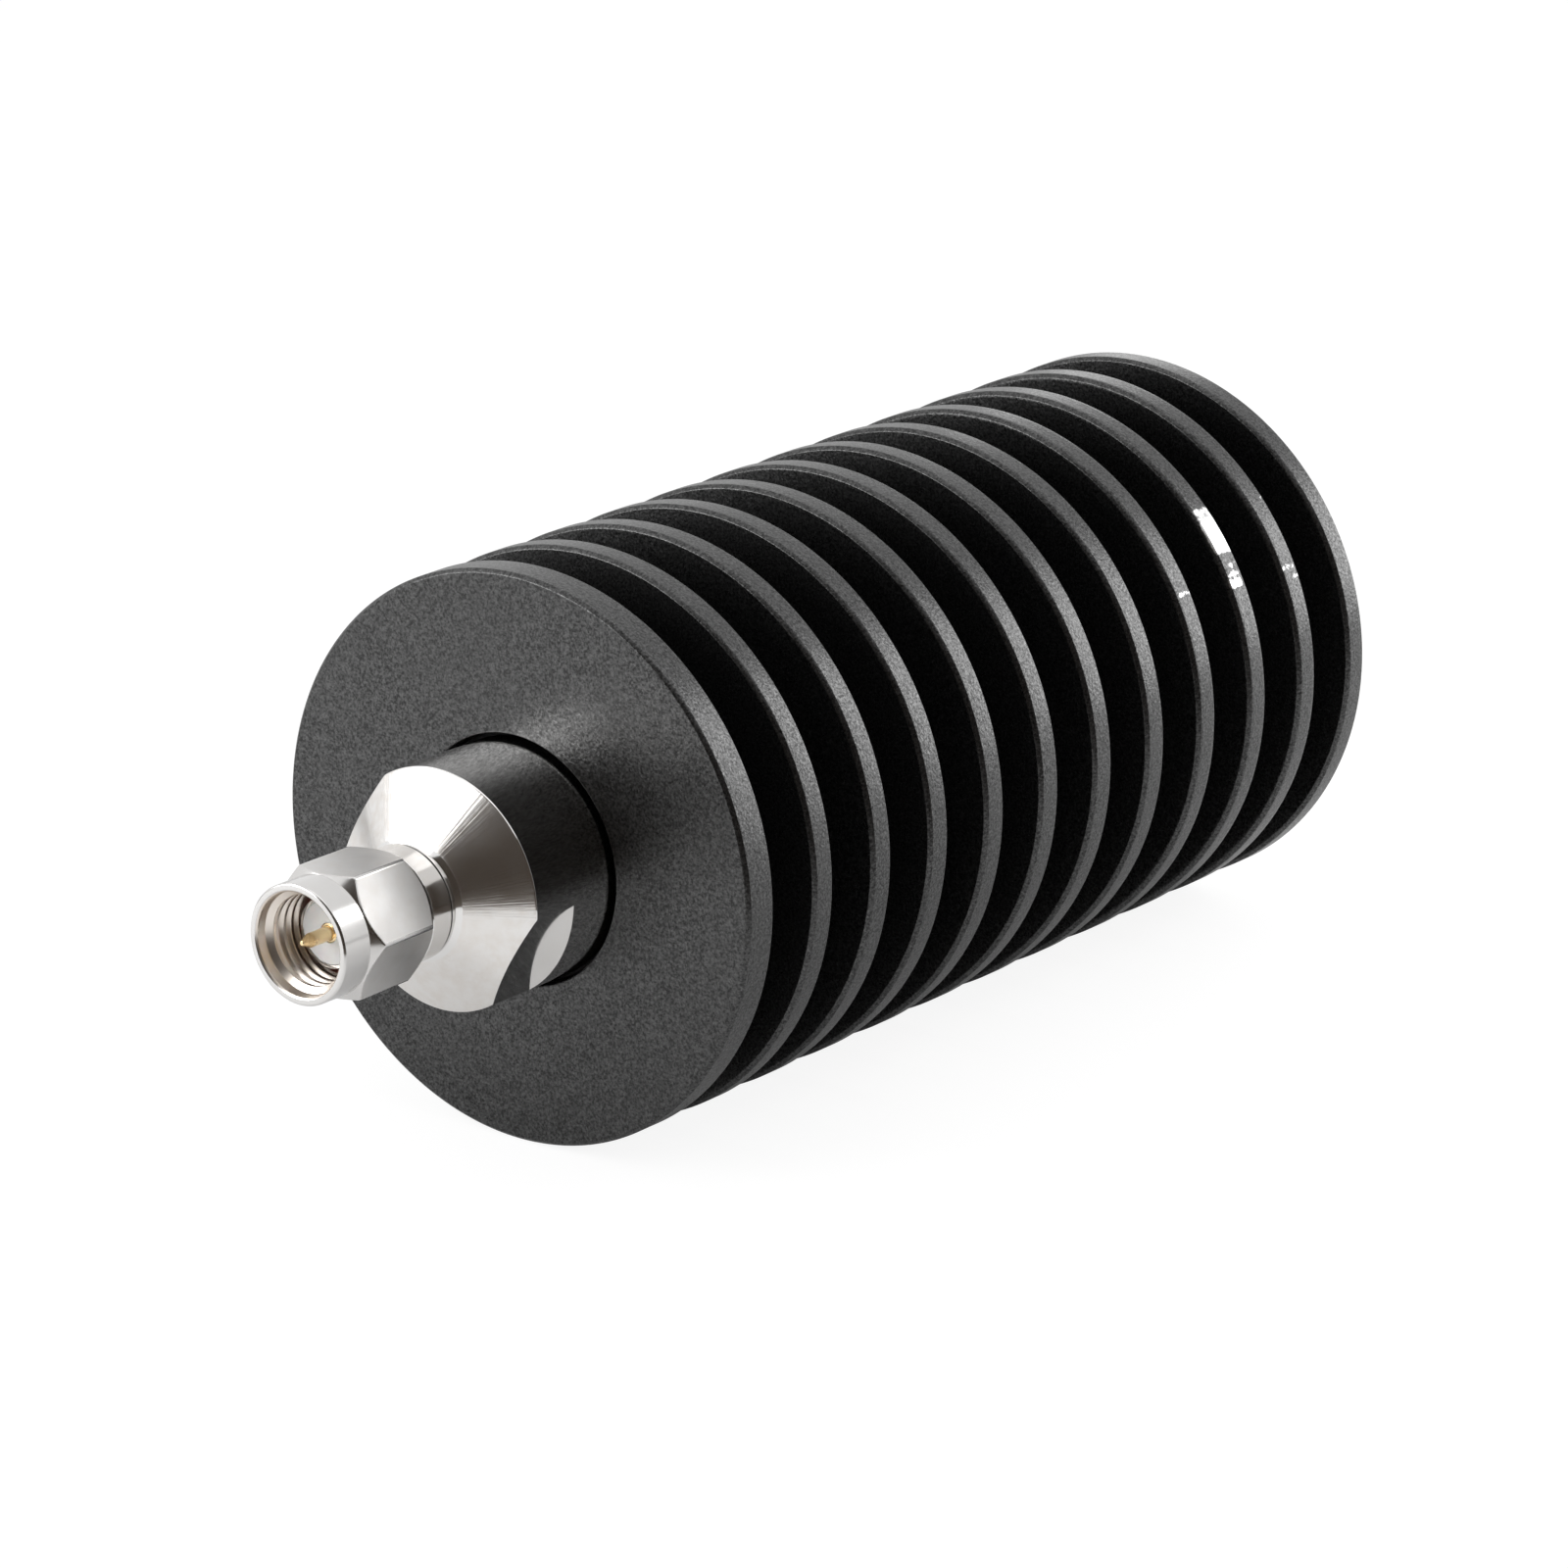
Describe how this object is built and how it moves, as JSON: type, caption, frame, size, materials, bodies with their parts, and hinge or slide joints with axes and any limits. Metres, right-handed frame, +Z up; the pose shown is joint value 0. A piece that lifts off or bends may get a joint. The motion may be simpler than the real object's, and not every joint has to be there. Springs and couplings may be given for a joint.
{
  "type": "coaxial attenuator",
  "caption": "In-line coaxial power attenuator: a finned round heatsink with a threaded plug with a turning nut at one end and a threaded jack at the other.",
  "frame": {"origin": "on the axis, at the plug's mating plane, which is the end face of its outer contact", "axes": "+Y along the axis from the plug to the jack, +Z up as it lies on its fins; the plug's mate leaves along -Y, the jack's along +Y"},
  "size_m": [0.038, 0.108, 0.038],
  "materials": {
    "black_anodised": "black anodised, bead blasted",
    "stainless": "turned and passivated",
    "nut_stainless": "turned and passivated",
    "gold_plate": "gold plated, bright",
    "beryllium_copper": "bare spring alloy",
    "silicone": "soft red silicone",
    "ptfe": "waxy white",
    "bead_plastic": "amber, machined",
    "seal_rubber": "black nitrile",
    "copper": "machined copper",
    "cover_aluminium": "milled, clear chromated",
    "screw_steel": "machine screws",
    "chip_ceramic": "ground aluminium nitride",
    "lid_ceramic": "fired alumina",
    "silver_ribbon": "silver ribbon"
  },
  "bodies": {
    "attenuator": {"heatsink": "black_anodised", "plug_body": "stainless", "jack_body": "stainless", "plug_shell": "stainless", "jack_shell": "stainless", "plug_ground_spring": "beryllium_copper", "jack_ground_spring": "beryllium_copper", "plug_pin": "gold_plate", "jack_contact": "gold_plate", "plug_dielectric": "ptfe", "jack_dielectric": "ptfe", "plug_bead": "bead_plastic", "jack_bead": "bead_plastic", "plug_seal": "seal_rubber", "jack_seal": "seal_rubber", "chip_carrier": "copper", "channel_cover": "cover_aluminium", "cover_screws": "screw_steel", "attenuator_chip": "chip_ceramic", "chip_lid": "lid_ceramic", "input_tab": "silver_ribbon", "output_tab": "silver_ribbon"},
    "ring": {"retaining_ring": "beryllium_copper"},
    "nut": {"coupling_nut": "nut_stainless", "nut_gasket": "silicone"}
  },
  "joints": [
    {"name": "nut_float", "type": "slide", "parent": "attenuator", "child": "ring", "axis": [0, 1, 0], "range_m": [-0.00015, 0.00015]},
    {"name": "nut_turn", "type": "hinge", "parent": "ring", "child": "nut", "pos_m": [0, 0.004, 0], "axis": [0, 1, 0], "continuous": true}
  ]
}
